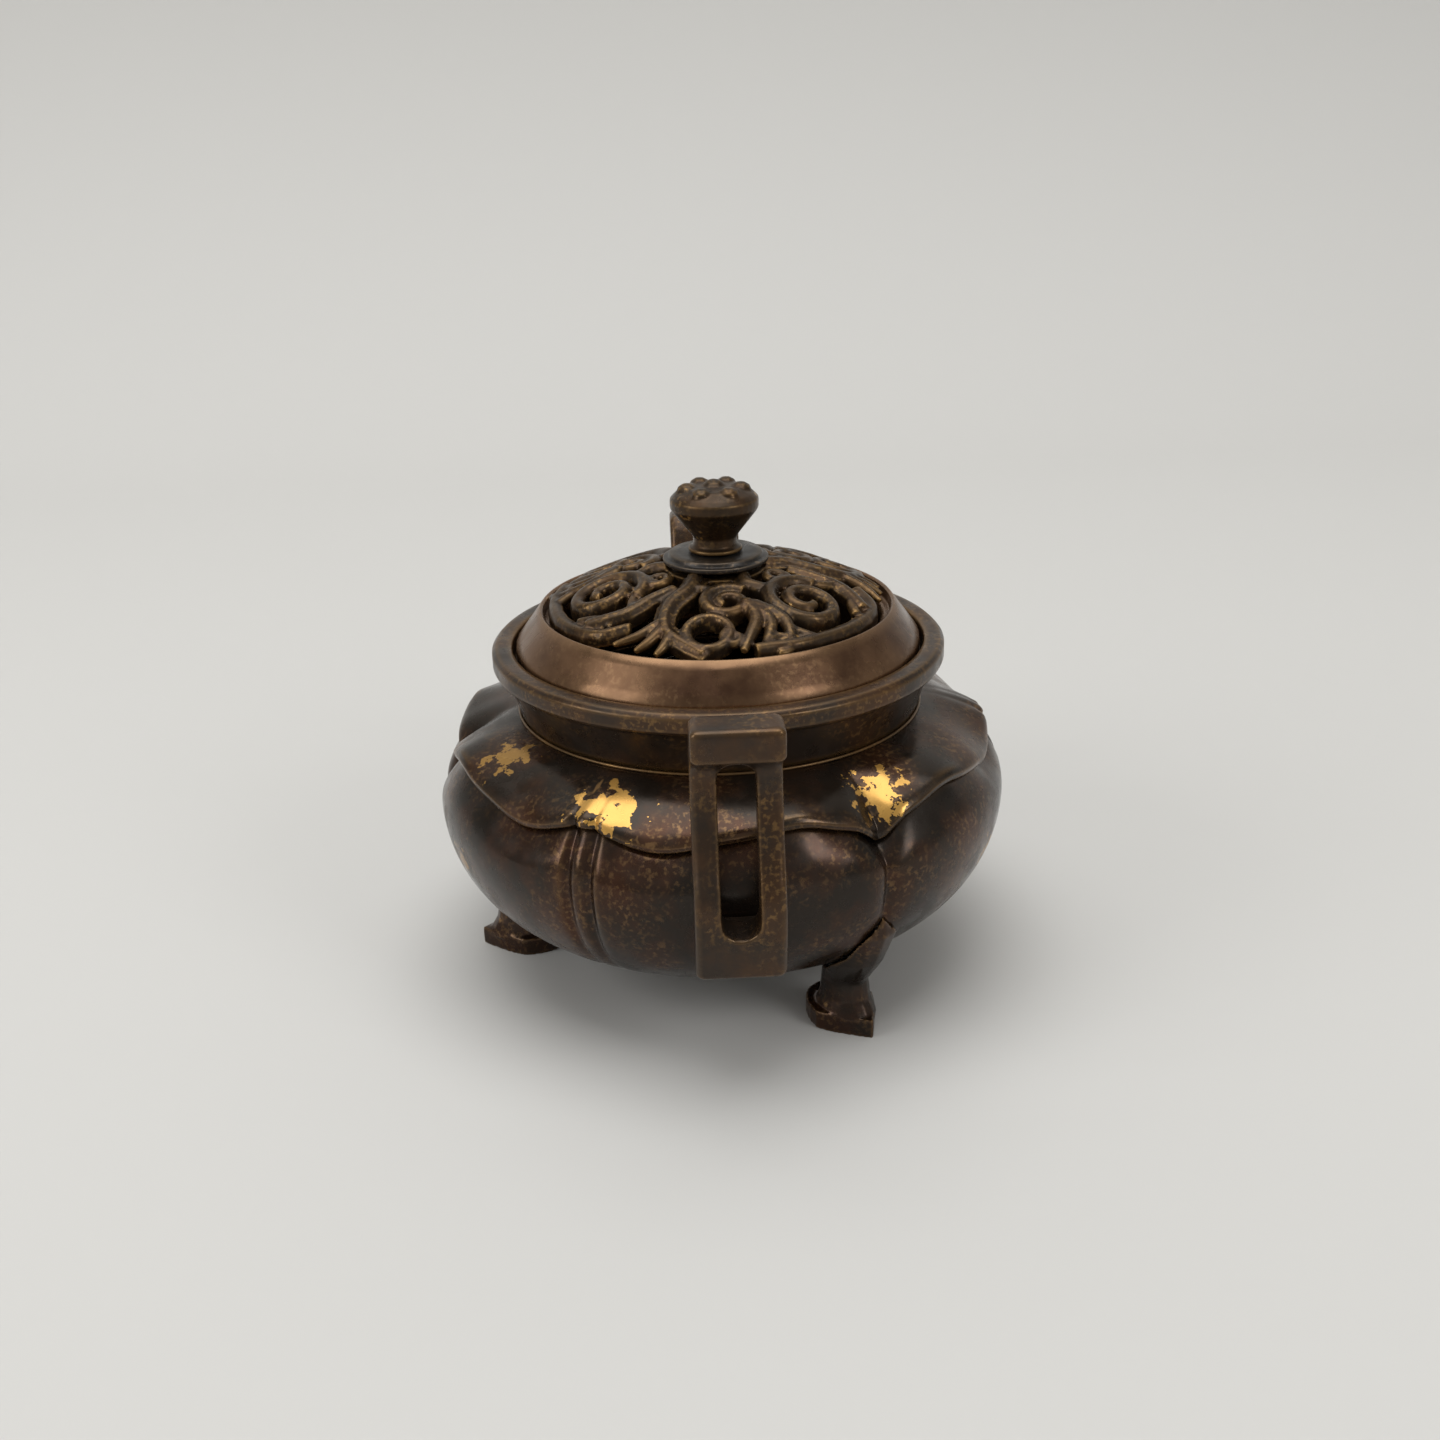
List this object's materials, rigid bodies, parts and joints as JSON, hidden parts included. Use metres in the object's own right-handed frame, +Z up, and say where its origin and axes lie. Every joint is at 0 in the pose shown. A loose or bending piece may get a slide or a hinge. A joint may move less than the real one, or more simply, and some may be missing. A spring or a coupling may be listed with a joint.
{
  "type": "lidded incense burner",
  "caption": "Lobed bronze tripod incense burner with ear handles, petal-edged shoulder and a lift-off lid with a pierced scrollwork dome and knob.",
  "frame": {"origin": "on the floor under the centre of the mouth", "axes": "+Z up, the two handles on -Y and +Y, one foot on -X"},
  "size_m": [0.1375, 0.17, 0.1188],
  "materials": {
    "patina": "glossy dark brown patina on cast bronze",
    "patina_warm": "worn brown patina on cast bronze",
    "copper_ring": "smooth coppery bevel",
    "scroll": "brown scrollwork with rubbed high points",
    "dark": "near-black satin patina"
  },
  "bodies": {
    "vessel": {"belly_bowl": "patina", "shoulder_collar": "patina", "mouth_ring": "patina_warm", "foot_1": "patina", "foot_2": "patina", "foot_3": "patina", "handle_front": "patina_warm", "handle_back": "patina_warm"},
    "lid": {"lid_ring": "copper_ring", "lid_dome": "scroll", "lid_disc": "dark", "lid_knob": "scroll", "knob_nut": "dark"}
  },
  "joints": [
    {"name": "lid_lift", "type": "slide", "parent": "vessel", "child": "lid", "axis": [0, 0, 1], "range_m": [0, 0.06]}
  ]
}
